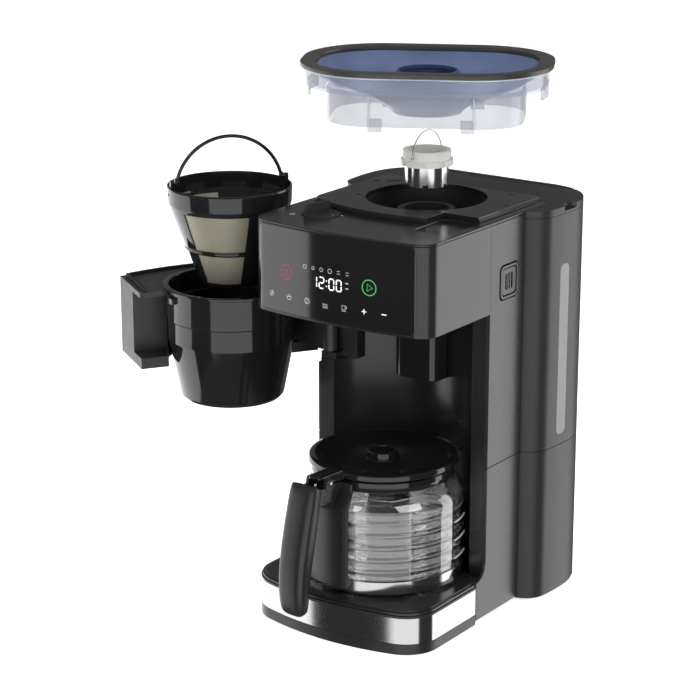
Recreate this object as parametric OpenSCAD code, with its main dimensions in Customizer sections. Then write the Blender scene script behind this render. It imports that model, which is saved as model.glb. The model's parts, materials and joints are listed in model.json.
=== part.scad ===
// Bean to cup coffee machine, shown opened up: hopper, burr ring and mesh filter
// lifted, brew basket door swung out to the left, carafe on the hot plate.
// Millimetres. X right, Y to the back, Z up, origin under the middle of the base.

/* [Body] */
// half width of the body over the side panels
half_w = 96.5; // [85:0.5:110]
// height of the top face at the sides
top_z = 385; // [360:1:410]
// underside of the head over the brew space
head_z = 300; // [285:0.5:315]
// seam height between the lower body and the removable tank
seam_z = 151.6; // [130:0.2:170]
// front of the column cheeks
cheek_y = -24; // [-40:1:-10]
// back of the column
col_y = 80; // [70:1:90]

/* [Brew space] */
// carafe axis distance in front of the origin
carafe_y = -54; // [-65:0.5:-45]
// radius of the hollow in the column
hollow_r = 84; // [82:0.5:90]
// basket axis when the door is shut
basket_y = -62; // [-66:0.5:-58]
// how far the door stands open in degrees
door_open = 123.6; // [0:0.2:125]
// door hinge, left of the middle
hinge_x = -85.6; // [-90:0.1:-80]
// door hinge, front to back
hinge_y = -19; // [-25:0.5:-12]

/* [Lifted parts] */
// grinder axis, front to back
grind_y = 16; // [10:0.5:24]
// hopper lift above its seat
hopper_up = 71.3; // [0:0.1:120]
// hopper turn from its locked position in degrees
hopper_turn = 28; // [0:0.1:30]
// burr ring lift above its seat
burr_up = 41; // [0:0.5:60]
// filter lift above the basket ledge
filter_up = 96; // [0:0.1:110]

/* [Carafe] */
// widest radius of the glass
glass_r = 78.3; // [70:0.1:82]
// direction of the handle, degrees from the right
handle_dir = -95; // [-130:1:-60]

/* [Hidden] */
$fn = 96;
axis_open = [hinge_x - hinge_x*cos(-door_open) - (basket_y-hinge_y)*sin(-door_open),
             hinge_y - hinge_x*sin(-door_open) + (basket_y-hinge_y)*cos(-door_open)];
mx = -7.8; my = 29;          // motor axis
sel = [-50, -82];            // grind selector axis
white = [0.85,0.85,0.83]; black = [0.12,0.12,0.13]; dark = [0.2,0.2,0.21]; steel = [0.75,0.75,0.76];

// ---------- plans ----------
// rounded plan with a bowed front: half width, front apex, back edge, bow radius, corner radius
module bow(w2, yf, yb, R, r) {
  cx = w2 - r; cb = yf + R; yc = cb - sqrt((R-r)*(R-r) - cx*cx); tx = cx*R/(R-r);
  translate([-w2, yc]) square([2*w2, yb-yc]);
  for (s=[-1,1]) translate([s*cx, yc]) circle(r=r);
  intersection() { translate([0,cb]) circle(r=R, $fn=180); translate([-tx, yf]) square([2*tx, yc-yf+0.01]); }
}
module head_plan(t=0, yb=cheek_y) bow(half_w-t, -135+t, yb, 500-t, 18-t);
module base_front(t=0, yb=40) bow(half_w-t, -149.5+t, yb, 260-t, 35-t);
// plan of the water tank, drawn in by t
module tank_outer(t=0) {
  intersection() {
    translate([-98.7,82]) circle(r=215-t, $fn=180);
    translate([98.7,82]) circle(r=215-t, $fn=180);
    translate([-130,55]) square([260,42]);
  }
  for (s=[-1,1]) {
    translate([s*58.9,93]) circle(r=57-t);
    translate([s*90.79,58]) circle(r=24-t);
  }
  translate([-90.79,34+t]) square([181.58,40]);
  translate([-58.9,80]) square([117.8,70-t]);
}
module tank_plan(t=0) difference() {
  tank_outer(t);
  translate([-94.2-t,0]) square([188.4+2*t, col_y+0.5+t]);
}
module rrect(w, h, r) { square([w-2*r,h], center=true); square([w,h-2*r], center=true);
  for (x=[-1,1]) for (y=[-1,1]) translate([x*(w/2-r), y*(h/2-r)]) circle(r=r); }
module slab(z0, z1) translate([0,0,z0]) linear_extrude(z1-z0) children();
module tube(r1, r0, z0, z1) slab(z0,z1) difference() { circle(r=r1); circle(r=r0); }
module swing() translate([hinge_x,hinge_y,0]) rotate(-door_open) translate([-hinge_x,-hinge_y,0]) children();
module at_basket() swing() translate([0,basket_y,0]) children();
module at_grind() translate([0,grind_y,0]) children();
module at_carafe() translate([0,carafe_y,0]) children();
module at_filter() translate([axis_open[0],axis_open[1],0]) children();

// ---------- base ----------
module base_shell() color(black) difference() {
  union() { slab(0.5, 38.2) base_front(0, -40); slab(4, 38.2) translate([-93.4,-41]) square([186.8, col_y+41]); }
  slab(0, 35.7) base_front(4, -40);
  slab(0, 35.7) translate([-90.4,-46]) square([180.8, col_y+43]);
  slab(10.6, 36.3) difference() { translate([-130,-200]) square([260,160]); base_front(1.5, 20); }
  translate([0,carafe_y,30]) cylinder(r=70.5, h=10);
  translate([26,44,30]) cylinder(r=6, h=10);
  translate([0,col_y+10,18]) rotate([90,0,0]) cylinder(r=5, h=20);
}
base_holes = [[70,-90],[-70,-90],[0,-20],[66,114],[-66,114]];
module base_plate() color(dark) difference() {
  slab(1.8, 3.8) { base_front(4.3, -39.7); translate([-93,-39.8]) square([186,col_y+40]);
    intersection() { tank_outer(1); translate([-130,30]) square([260,140]); } }
  for (p=base_holes) translate([p[0],p[1],1]) cylinder(r=1.7, h=4); }
module rubber_feet() color([0.1,0.1,0.1]) for (p=[[78,-104],[-78,-104],[88,96],[-88,96],[0,0]])
  translate([p[0],p[1],0]) cylinder(r=9, h=1.78);
module trim_band() color(steel) slab(10.8, 36.1) intersection() {
  difference() { base_front(0.2, 20); base_front(1.4, 20); } translate([-130,-200]) square([260,159.8]); }
module base_deck() color(black) difference() {
  union() { slab(38.3, 40.8) base_front(1.2, -40.2); slab(40.8, 42.2) base_front(4, -40.2);
    slab(38.3, 42.2) translate([-93.3,-41]) square([186.6, 65]); }
  translate([0,carafe_y,36]) cylinder(r=69.6, h=10);
  slab(36, 50) difference() { translate([-93.4,cheek_y-0.2]) square([186.8,120]); translate([0,carafe_y]) circle(r=hollow_r-0.3); }
}
module hot_plate() color([0.3,0.3,0.31]) at_carafe() difference() {
  union() { cylinder_z(65.4, 38, 43.6); cylinder_z(60, 37, 38.1); }
  tube(58, 56.6, 43.1, 44);
  tube(40, 38.8, 43.1, 44);
}
module cylinder_z(r, z0, z1) translate([0,0,z0]) cylinder(r=r, h=z1-z0);
module plate_seal() color([0.15,0.15,0.15]) at_carafe() { tube(69.3, 65.6, 37, 42.8); }
module heater_coil() color([0.7,0.7,0.7]) at_carafe() translate([0,0,31.4]) {
  rotate(105) rotate_extrude(angle=330) translate([48,0]) circle(r=4);
  for (a=[105,75]) rotate(a) translate([48,0,0]) rotate([a==105?90:-90,0,0]) { cylinder(r=3.4, h=9); translate([0,0,-1.5]) cylinder(r=4.8, h=3); }
}

// ---------- column ----------
module column_core() color(black) difference() {
  slab(42.4, 299.8) difference() {
    translate([-93.3,cheek_y]) square([186.6, col_y-cheek_y]);
    translate([0,carafe_y]) circle(r=hollow_r, $fn=180);
  }
  slab(45, 301) difference() {
    translate([-90.3,cheek_y+3]) square([180.6, col_y-cheek_y-6]);
    translate([0,carafe_y]) circle(r=hollow_r+3, $fn=180);
  }
  slab(211.6, 310) translate([-7.5,my]) rrect(49.6,42.6,9.3);
  translate([26,44,40]) cylinder(r=5, h=8);
  // room for the door hinge in the left cheek
  translate([-100,cheek_y-1,226.6]) cube([40.6, 28.4, 80]);
}
module hinge_bracket() color(black) difference() {
  union() {
    translate([-90,-11.3,234]) cube([30, 14, 65.6]);
    for (z=[227.2,293.2]) translate([-92.6,-24.6,z]) cube([17, 20, 6.4]);
    translate([-90,-11.3,227.2]) cube([30, 14, 10]);
  }
  translate([hinge_x,hinge_y,200]) cylinder(r=2.55, h=110);
}
module side_panels() color(dark) {
  difference() {
    slab(152, 382.3) translate([93.5,cheek_y+0.2]) square([3, 57.3]);
    translate([90,8,325]) rotate([90,0,90]) linear_extrude(10) rrect(32.8,33.8,6.2);
  }
  difference() {
    slab(152, 382.3) translate([-96.5,cheek_y+0.2]) square([3, 57.3]);
    translate([-100,cheek_y-1,221.8]) cube([24, 26, 78.4]);
  }
}
// L shaped cheeks: upright, toe along the base and a hollow fillet between them
module lower_panels() color(dark) for (s=[-1,1]) translate([s>0?93.5:-96.5,0,0]) rotate([90,0,90]) linear_extrude(3) difference() {
  polygon([[33.5,4],[33.5,seam_z-0.2],[cheek_y,seam_z-0.2],[cheek_y,57.8],[-39.8,57.8],[-39.8,4]]);
  translate([-39.8,57.8]) circle(r=15.8);
}
module rear_housing() color(black) difference() {
  slab(4, seam_z-0.2) tank_plan(0);
  slab(3, seam_z-3.4) tank_plan(2.6);
  translate([0,col_y+10,18]) rotate([90,0,0]) cylinder(r=5, h=20);
  translate([0,100,140]) cylinder(r=9, h=20);
  translate([-60,152,60]) rotate([90,0,0]) cylinder(r=6.6, h=12);
}
// ---------- head ----------
module head_shell() color(black) difference() {
  union() {
    slab(head_z, 382.3) head_plan(0, cheek_y);
    slab(head_z, 382.3) translate([-93.2,cheek_y-1]) square([186.4, col_y-cheek_y+1]);
  }
  // inside
  slab(head_z+2.6, 390) head_plan(5.2, cheek_y);
  slab(head_z-1, 390) difference() { translate([-90.4,cheek_y-0.1]) square([180.8, col_y-cheek_y-2.7]); translate([0,carafe_y]) circle(r=hollow_r+4, $fn=180); }
  slab(head_z+2.6, 390) translate([-90.4,cheek_y-0.1]) square([180.8, col_y-cheek_y-2.7]);
  slab(head_z+2.6, 390) translate([-90.4,cheek_y-4]) square([180.8, 6]);
  // seat of the glass
  intersection() {
    slab(302, 384) difference() { head_plan(-5, cheek_y); head_plan(2.3, cheek_y); }
    translate([-2.5,-100,342]) rotate([90,0,0]) linear_extrude(60) rrect(174.4,79.4,8.4);
  }
  // shower opening and chute opening
  translate([0,basket_y,290]) cylinder(r=36.2, h=20);
  slab(290, 310) translate([-11.8,-19.8]) square([23.6, 10.2]);
  translate([mx,my,290]) cylinder(r=10, h=20);
  // button window
  translate([80,8,325]) rotate([90,0,90]) linear_extrude(20) rrect(32.8,33.8,6.2);
}
module front_glass() color([0.1,0.1,0.11]) intersection() {
  slab(302, 384) difference() { head_plan(0, cheek_y); head_plan(2.2, cheek_y); }
  translate([-2.5,-100,342]) rotate([90,0,0]) linear_extrude(60) rrect(174,79,8.2);
}
module control_board() color([0.1,0.35,0.2]) translate([-66,-121,312]) cube([132,1.6,60]);
module display_unit() color([0.25,0.25,0.28]) translate([-62,-125.2,338]) cube([44,4,16]);
module top_cover() color(black) difference() {
  union() { slab(382.5, top_z) head_plan(0, cheek_y); slab(382.5, top_z) translate([-half_w,cheek_y-1]) square([2*half_w, 58]);
    slab(382.5, top_z) translate([-93.3,20]) square([186.6, col_y-20]); }
  at_grind() translate([0,0,380]) cylinder(r=59.2, h=10);
  translate([sel[0],sel[1],380]) cylinder(r=18.5, h=10);
  slab(383.4, 390) translate([69,-57.5]) rrect(37,56,9);
}
deck_pts = [[80,25],[-55,-15.5],[62,66],[-76,44]];
module top_deck() color(black) difference() {
  union() { slab(top_z+0.1, 388.6) bow(87.5,-66,col_y-2.5,200,18); slab(388.6, 390) bow(86.2,-64.7,col_y-3.8,198.7,16.7); }
  at_grind() translate([0,0,380]) cylinder(r=57, h=20);
  // finger notch at the right front corner and screw recesses
  slab(top_z, 392) translate([49,-80]) square([50,50]);
  for (p=deck_pts) translate([p[0],p[1],388.2]) cylinder(r=3.2, h=4);
}
module well_cup() color(black) at_grind() difference() {
  union() { tube(58.8, 57, 360, top_z); cylinder_z(58.8, 360, 362.6); tube(27, 21.2, 362, 379.4); tube(33, 30.5, 362, 366); }
  translate([0,0,350]) cylinder(r=21.2, h=40);
  for (a=[35,155,275]) rotate(a) translate([45,0,350]) cylinder(r=1.7, h=40);
}
module grind_chamber() color(dark) at_grind() difference() {
  union() { tube(24.5, 21.4, 326, 359.9); cylinder_z(24.5, 326, 328.5); }
  translate([0,0,320]) cylinder(r=4.2, h=20);
  translate([-12,-40,331]) cube([24,30,22]);
}
module grounds_chute() color(dark) difference() {
  // box duct from the chamber down and forward to the basket
  translate([-14,-22,303]) cube([28,16.5,52]);
  translate([-11.8,-19.8,300]) cube([23.6,10.2,52.8]);
  translate([-11.8,-12,331]) cube([23.6,20,21]);
  at_grind() translate([0,0,300]) cylinder(r=24.8, h=70);
}
module motor_housing() color(black) translate([-7.5,my,0]) difference() {
  slab(212, 299.8) rrect(49,42,9);
  slab(214.4, 310) rrect(44.6,37.6,6.8);
}
module grind_motor() color([0.6,0.6,0.62]) translate([mx,my,0]) { cylinder_z(18, 215, 290); difference() { cylinder_z(8, 290, 297); cylinder_z(3, 288, 300); } }
module motor_spindle() color(steel) translate([mx,my,0]) { cylinder_z(2.4, 290.4, 320); cylinder_z(4.2, 312, 318); }
module burr_drive() color(steel) at_grind() difference() {
  union() { cylinder_z(3.2, 306, 346); cylinder_z(10.6, 312, 318);
    translate([0,0,336]) cylinder(r1=17, r2=17, h=4); translate([0,0,340]) cylinder(r1=17, r2=11, h=18); }
  for (k=[0:7]) rotate(45*k) translate([16.6,0,346]) rotate([0,-18,0]) cube([3.2,1.6,30], center=true);
}
module shower_head() color(dark) translate([0,basket_y,0]) difference() {
  union() { cylinder_z(35.6, 300.4, 302); tube(35.6, 33.6, 301.9, 304.4); cylinder_z(38.5, 304.2, 305.6); tube(38.5, 35.5, 302.8, 304.3); }
  for (k=[0:7]) rotate(45*k) translate([27,0,290]) cylinder(r=1.4, h=13);
  for (k=[0:5]) rotate(60*k) translate([14,0,290]) cylinder(r=1.4, h=13);
  translate([26,0,303]) cylinder(r=3.1, h=10);
}
module elbow(R, r) rotate_extrude(angle=90) translate([R,0]) circle(r=r, $fn=40);
module riser_tube() color(white) {
  translate([26,44,20]) cylinder(r=4, h=286);
  translate([26,34,306]) rotate([90,0,90]) elbow(10,4);
  translate([26,34,316]) rotate([90,0,0]) cylinder(r=4, h=86);
  translate([26,-52,306]) rotate([90,0,90]) rotate(90) elbow(10,4);
}
module inlet_tube() color(white) {
  translate([0,100,28]) cylinder(r=4, h=112);
  translate([0,100,139]) difference() { cylinder(r=8, h=9); translate([0,0,2]) cylinder(r=6.6, h=10); }
  translate([0,90,28]) rotate([90,0,90]) rotate(-90) elbow(10,4);
  translate([0,90,18]) rotate([90,0,0]) cylinder(r=4, h=86);
}
module side_button() color(dark) difference() {
  union() {
    translate([91,8,325]) rotate([90,0,90]) linear_extrude(6.2) rrect(32,33,5.8);
    translate([87.6,8,325]) rotate([90,0,90]) linear_extrude(2.4) rrect(36,37,6);
    translate([78,8,325]) rotate([0,90,0]) cylinder(r=5, h=14);
    translate([89.9,8,325]) rotate([90,0,90]) linear_extrude(1.2) rrect(32,33,5.8);
  }
  for (k=[-2:2]) translate([97.8,8+5*k,325]) cube([2.4,1.8,24], center=true);
}
module grind_selector() color(dark) translate([sel[0],sel[1],0]) difference() {
  union() { cylinder_z(18, 382, 385.8); cylinder_z(4, 372, 383);
    rotate(76.5) translate([-14,4.2,385.5]) cube([28,4.6,9.5]); }
  rotate(-114) rotate_extrude(angle=200) translate([10,386]) square([5,2], center=true);
}
module deck_screws() color(steel) {
  for (p=deck_pts) translate([p[0],p[1],388.3]) difference() { cylinder(r=2.9, h=1.1); translate([-2,-0.5,0.6]) cube([4,1,1]); }
  at_grind() for (a=[35,155,275]) rotate(a) translate([45,0,362.7]) difference() { cylinder(r=3.4, h=1.6); translate([-2.4,-0.5,1]) cube([4.8,1,1]); }
}
module base_screws() color(steel) for (p=base_holes)
  translate([p[0],p[1],0]) { cylinder_z(3.2, 0.7, 1.75); cylinder_z(1.6, 1.7, 9); }
module cord_gland() color([0.1,0.1,0.1]) translate([-60,0,60]) rotate([-90,0,0]) difference() {
  union() { translate([0,0,143]) cylinder(r=6.3, h=12); translate([0,0,150.4]) cylinder(r=9, h=2.4); }
  translate([0,0,140]) cylinder(r=3.2, h=20); }
module hinge_pin() color(steel) translate([hinge_x,hinge_y,0]) cylinder_z(2.5, 227.4, 299.4);

// ---------- swinging door (drawn shut, then swung out) ----------
module door_plan(t=0, yb=-65) intersection() {
  translate([0,110.5]) circle(r=260-t, $fn=180);
  translate([-90+t,-160]) square([180-2*t, 160+yb]);
}
module door_shell() color(dark) swing() difference() {
  union() {
    difference() {
      slab(220.5, 296) door_plan();
      slab(231, 291) translate([-100,-90]) square([200,60]);        // hollow back between the flanges
      slab(223, 291) door_plan(3, -92.5);                             // inside of the front box
    }
    // arm to the hinge
    slab(234.2, 292.6) polygon([[-90,-94],[-60,-94],[-60,-70],[-64,-70],[-72,-40],[-80.5,-19],[-88.5,-19],[-88.5,-34],[-90,-40]]);
    translate([hinge_x,hinge_y,234.2]) cylinder(r=6.6, h=58.4);
  }
  translate([0,basket_y,200]) cylinder(r=62.7, h=110);
  translate([hinge_x,hinge_y,200]) cylinder(r=2.58, h=110);
}
module door_gasket() color([0.1,0.1,0.1]) swing() slab(296.1, 299.2) difference() {
  door_plan(5, -66.5); door_plan(8, -60); translate([0,basket_y]) circle(r=66); }
// ---------- brew basket ----------
module brew_basket() color(black) at_basket() difference() {
  union() {
    translate([0,0,187]) cylinder(r1=47.5, r2=50, h=3);
    translate([0,0,190]) cylinder(r1=50, r2=61, h=56);
    cylinder_z(61, 245.99, 267);
    cylinder_z(62, 266, 296.4);
    cylinder_z(64.6, 296.3, 299.3);
    cylinder_z(10.6, 180, 188);
    for (a=[9,171]) rotate(a) translate([61,-5,286]) cube([4.6,10,6]);
  }
  translate([0,0,190]) cylinder(r1=47.6, r2=58.6, h=56.01);
  cylinder_z(57.6, 245.9, 300);
  cylinder_z(58.6, 245.9, 276.4); cylinder_z(59.8, 279, 300);
  cylinder_z(8.2, 170, 195);
}
module drip_valve() color(white) at_basket() { cylinder_z(3, 176, 192); cylinder_z(12, 190.5, 193); tube(7.6, 6.4, 183, 190.6); }

// ---------- mesh filter ----------
fz = filter_up - 96;
// wedge between two planes through the axis
module wedge(a, z0, z1) translate([0,0,z0]) linear_extrude(z1-z0) polygon([[10,-10*tan(a)],[70,-70*tan(a)],[70,70*tan(a)],[10,10*tan(a)]]);
module filter_frame() color(black) at_filter() translate([0,0,fz]) {
  difference() {
    union() {
      cylinder_z(59, 379, 395);
      translate([0,0,337]) cylinder(r1=43.3, r2=59, h=42);
      cylinder_z(43.9, 335, 337.4);
      translate([0,0,300]) cylinder(r1=28.6, r2=42.2, h=35.2);
    }
    cylinder_z(57.4, 378.99, 400);
    translate([0,0,336.9]) cylinder(r1=41.66, r2=57.4, h=42.1);
    cylinder_z(40.2, 334.6, 337.6);
    translate([0,0,301.6]) cylinder(r1=27.52, r2=40.54, h=33.7);
    // windows for the mesh
    for (k=[0:2]) rotate(120*k-66.6) { wedge(33, 339, 374.5); wedge(33, 304.4, 333.2); }
  }
  for (s=[0,180]) rotate(53+s) difference() {
    union() { translate([53.4,-2.5,387]) cube([4.3,5,13]); translate([53.4,0,400]) rotate([0,90,0]) cylinder(r=2.5, h=4.3); }
    translate([50,0,400]) rotate([0,90,0]) cylinder(r=1.3, h=10); }
}
module filter_mesh() color([0.62,0.6,0.48]) at_filter() translate([0,0,fz]) {
  difference() { translate([0,0,338]) cylinder(r1=41.97, r2=56.18, h=38); translate([0,0,337.9]) cylinder(r1=41.33, r2=55.62, h=38.2); }
  difference() { translate([0,0,303]) cylinder(r1=27.96, r2=39.94, h=31); translate([0,0,302.9]) cylinder(r1=27.32, r2=39.38, h=31.2); }
}
module filter_bail() color(black) at_filter() translate([0,0,400+fz]) rotate(53) {
  translate([0,0,-11]) rotate([90,0,0]) rotate(90-77.7) rotate_extrude(angle=155.4) translate([52.2,0]) circle(r=1.5, $fn=40);
  for (s=[-1,1]) { translate([s>0?49.2:-52.9,0,0.4]) rotate([0,90,0]) cylinder(r=3.4, h=3.7); translate([s>0?51.2:-56.6,0,0]) rotate([0,90,0]) cylinder(r=1.2, h=5.4); }
}
// ---------- hopper ----------
hz = hopper_up - 71.3;
module at_hopper() at_grind() translate([0,0,hz]) rotate(hopper_turn) children();
module hopper_collar() color([0.3,0.32,0.36]) at_grind() translate([0,0,hz]) { tube(30, 26.6, 470.5, 481.6); tube(32.6, 26.6, 481, 483.4); tube(32.6, 29, 470.5, 473.6); }
module hopper_body() color([0.45,0.52,0.7]) at_hopper() difference() {
  union() {
    slab(497, 514.4) rrect(226,167,71.5);
    intersection() { union() { translate([0,0,478]) cylinder(r1=36, r2=106, h=24); cylinder_z(36, 474.3, 480); } slab(470,505) rrect(210,151,63.5); }
    slab(466, 500) difference() { rrect(181,124,40); rrect(176.6,119.6,37.8); }
    for (s=[-1,1]) slab(489, 500) intersection() { difference() { rrect(223,164,70); rrect(218.2,159.2,67.6); } translate([s*100-22,-34]) square([44,68]); }
    for (x=[-42,42]) for (y=[-1,1]) translate([x-6.5, y>0?60.2:-62.4, 461.8]) cube([13,2.2,12]);
  }
  slab(499.5, 520) rrect(215,156,66);
  intersection() { translate([0,0,480.8]) cylinder(r1=35, r2=104, h=24); slab(480.7,505) rrect(206,147,61.5); }
  cylinder_z(30.1, 470, 490);
}
module hopper_rim() color([0.2,0.2,0.19]) at_hopper() slab(514.5, 519.5) difference() { rrect(233,174,75); rrect(203,144,60); }

// ---------- burr ring ----------
bz = burr_up - 41;
module burr_ring() color(steel) at_grind() translate([0,0,bz]) difference() {
  tube(20.4, 15.4, 402, 421);
  for (k=[0:5]) rotate(60*k) translate([18,0,402]) cube([8,5,5], center=true);
}
module burr_collar() color([0.8,0.8,0.78]) at_grind() translate([0,0,bz]) difference() {
  union() { tube(24.6, 15.6, 421.1, 426.8); tube(22.6, 18.6, 426.7, 435); }
  for (k=[0:7]) rotate(45*k+22.5) translate([24.6,0,424]) cube([2.4,5,8], center=true);
  for (s=[0,180]) rotate(90+s) translate([18,0,429.6]) rotate([0,90,0]) cylinder(r=0.75, h=10);
}
module burr_bail() color(steel) at_grind() translate([0,0,429.6+bz]) rotate(90) {
  translate([0,0,-2.4]) rotate([90,0,0]) rotate(5.42) rotate_extrude(angle=169.16) translate([25.4,0]) circle(r=0.65, $fn=24);
  for (s=[-1,1]) { translate([s>0?19.6:-25.2,0,0]) rotate([0,90,0]) cylinder(r=0.62, h=5.6); translate([s*25.28,0,0.1]) sphere(r=1); }
}
// ---------- carafe ----------
module glass_profile(t) {   // outline of the glass, drawn in by t
  translate([0,44+t]) square([glass_r-t, 74-t]);
  intersection() { translate([glass_r-22,118]) circle(r=22-t, $fn=180); translate([0,117]) square([120,45]); }
  translate([0,117]) square([64-t, 33.5+4*t]);
}
module carafe_glass() color([0.8,0.85,0.86]) at_carafe() rotate_extrude() difference() { glass_profile(0); glass_profile(2.2); }
module carafe_band() color(steel) at_carafe() tube(glass_r+1.1, glass_r+0.05, 45.5, 57.5);
module carafe_collar() color(black) at_carafe() { difference() { tube(67.4, 64.1, 140.2, 149.6); rotate(handle_dir) translate([40,-9,130]) cube([40,18,30]); } }
module carafe_handle() color(black) at_carafe() rotate(handle_dir) {
  // wide shield that lies along the glass
  rotate(-17.5) rotate_extrude(angle=35) polygon([[79.6,50],[79.6,119],[78.2,127],[74.7,133],[69,139.5],[69,149.2],[72.2,149.2],[72.7,141.2],[78.2,135.6],[82.2,129],[84.6,120],[84.6,50]]);
  rotate([90,0,0]) {
  translate([0,0,-13]) linear_extrude(26) polygon([[86,140],[88,150.4],[101,150.4],[104,154],[110.5,154],[113.5,150],[119,134],[128,100],[132,74],[132.6,56],[131.2,40],[127.5,34.2],[121,34.2],[118.2,40],[118,60],[115.6,78],[110,102],[102.5,126],[97,133],[92,134],[86.2,134]]);
  translate([0,0,-8.5]) linear_extrude(17) polygon([[64.3,141],[64.3,149.6],[66,150.4],[88.1,150.4],[88.1,131],[85.4,128],[85.4,58],[81.2,58],[81.2,119],[76.5,132],[68,141]]);
  for (s=[-1,1]) translate([0,0,s>0?9:-13]) linear_extrude(4) difference() { polygon([[84,149],[96,149],[94,157],[86,157]]); translate([90,154]) circle(r=1.6); }
  }
}
module carafe_lid() color(black) at_carafe() difference() {
  union() {
    rotate_extrude() difference() {
      polygon([[10,146],[12,146],[12,148],[58.6,152],[58.6,143.5],[61,143.5],[61,151.4],[70.5,151.4],[70.5,156],[68.5,158],[65.5,158],[60,155],[12,150.6],[10,150.6]]);
    }
    rotate(handle_dir) { translate([66,-8.4,151.4]) cube([24,16.8,4.6]); translate([90,8.4,154]) rotate([90,0,0]) cylinder(r=2.9, h=16.8); }
  }
  rotate(handle_dir) translate([90,20,154]) rotate([90,0,0]) cylinder(r=1.6, h=40);
}
module lid_pin() color(steel) at_carafe() rotate(handle_dir) translate([90,13.4,154]) rotate([90,0,0]) cylinder(r=1.53, h=26.8);
// ---------- water tank ----------
module window_cut(c) translate([100,76.5,246]) rotate([90,0,90]) linear_extrude(30) rrect(16-2*c,168-2*c,6-c);
module tank_body() color(black) difference() {
  union() { slab(152, 378) tank_plan(0); slab(377.9, 385) intersection() { tank_outer(0); translate([-130,143.6]) square([260,20]); }
    translate([-29.6,139,381.4]) rotate([0,90,0]) cylinder(r=3.3, h=59.2); translate([-29.6,139,378.2]) cube([59.2,5.2,6.4]); }
  difference() { slab(154.6, 380) tank_plan(2.6); slab(377.9, 390) translate([-130,143.5]) square([260,30]); translate([-29.7,135,378]) cube([59.4,10,10]); }
  window_cut(0);
  translate([0,100,150]) cylinder(r=3.6, h=10);
  translate([-60,139,381.4]) rotate([0,90,0]) cylinder(r=1.56, h=120);
}
module tank_window() color([0.6,0.7,0.75]) intersection() { slab(150, 340) difference() { tank_plan(0); tank_plan(2.5); } window_cut(0.15); }
module tank_lid() color(black) difference() {
  slab(378.4, 385) intersection() { tank_plan(0); translate([-130,20]) square([260,121.4]); }
  translate([-30.4,133.6,370]) cube([60.8,20,30]);
  translate([-130,140.2,376]) cube([260,4,3.3]);
  translate([-60,139,381.4]) rotate([0,90,0]) cylinder(r=1.56, h=120);
  translate([122,84,380.6]) cylinder(r=13, h=8);
}
module tank_lid_pin() color(steel) translate([-50,139,381.4]) rotate([0,90,0]) cylinder(r=1.5, h=100);
module tank_valve() color(white) translate([0,100,0]) { cylinder_z(3.4, 146.5, 158); cylinder_z(7, 155, 157.4); }

base_shell();
base_plate();
rubber_feet();
trim_band();
base_deck();
hot_plate();
plate_seal();
heater_coil();
column_core();
side_panels();
lower_panels();
rear_housing();
head_shell();
front_glass();
control_board();
display_unit();
top_cover();
top_deck();
well_cup();
grind_chamber();
grounds_chute();
motor_housing();
grind_motor();
motor_spindle();
burr_drive();
shower_head();
riser_tube();
inlet_tube();
side_button();
grind_selector();
deck_screws();
base_screws();
cord_gland();
hinge_bracket();
hinge_pin();
door_shell();
door_gasket();
brew_basket();
drip_valve();
filter_frame();
filter_mesh();
filter_bail();
hopper_collar();
hopper_body();
hopper_rim();
burr_ring();
burr_collar();
burr_bail();
carafe_glass();
carafe_band();
carafe_collar();
carafe_handle();
carafe_lid();
lid_pin();
tank_body();
tank_window();
tank_lid();
tank_lid_pin();
tank_valve();
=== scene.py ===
import json
import math
import bpy
import bmesh
from mathutils import Vector, Matrix

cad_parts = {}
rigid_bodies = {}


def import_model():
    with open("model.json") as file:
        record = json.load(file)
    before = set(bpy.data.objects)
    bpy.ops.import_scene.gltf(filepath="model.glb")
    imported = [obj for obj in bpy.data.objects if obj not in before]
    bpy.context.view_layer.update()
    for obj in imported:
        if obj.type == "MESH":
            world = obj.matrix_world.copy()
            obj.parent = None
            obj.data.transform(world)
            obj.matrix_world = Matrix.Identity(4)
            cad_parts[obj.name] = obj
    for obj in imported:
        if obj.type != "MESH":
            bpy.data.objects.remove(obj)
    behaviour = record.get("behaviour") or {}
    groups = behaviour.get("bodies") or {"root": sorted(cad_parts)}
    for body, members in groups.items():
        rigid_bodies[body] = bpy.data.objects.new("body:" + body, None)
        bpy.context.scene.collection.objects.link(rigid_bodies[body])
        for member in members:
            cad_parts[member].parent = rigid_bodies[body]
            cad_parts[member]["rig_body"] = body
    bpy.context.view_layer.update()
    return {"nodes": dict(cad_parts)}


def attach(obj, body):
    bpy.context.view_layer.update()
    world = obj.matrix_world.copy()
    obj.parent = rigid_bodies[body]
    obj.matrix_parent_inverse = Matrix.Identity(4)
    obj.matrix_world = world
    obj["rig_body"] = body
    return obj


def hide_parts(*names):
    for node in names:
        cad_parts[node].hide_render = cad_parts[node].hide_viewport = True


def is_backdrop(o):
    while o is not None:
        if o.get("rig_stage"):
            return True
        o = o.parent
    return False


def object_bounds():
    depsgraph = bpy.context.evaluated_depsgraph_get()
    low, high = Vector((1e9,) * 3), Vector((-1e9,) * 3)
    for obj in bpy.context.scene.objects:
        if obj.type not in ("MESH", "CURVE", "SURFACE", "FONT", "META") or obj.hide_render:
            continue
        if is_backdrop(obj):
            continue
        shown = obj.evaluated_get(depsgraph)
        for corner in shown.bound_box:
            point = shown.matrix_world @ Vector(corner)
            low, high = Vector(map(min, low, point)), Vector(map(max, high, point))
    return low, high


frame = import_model()
N = frame["nodes"]
BODY = {n: o["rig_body"] for n, o in N.items()}
scene = bpy.context.scene
MM = 0.001

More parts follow.
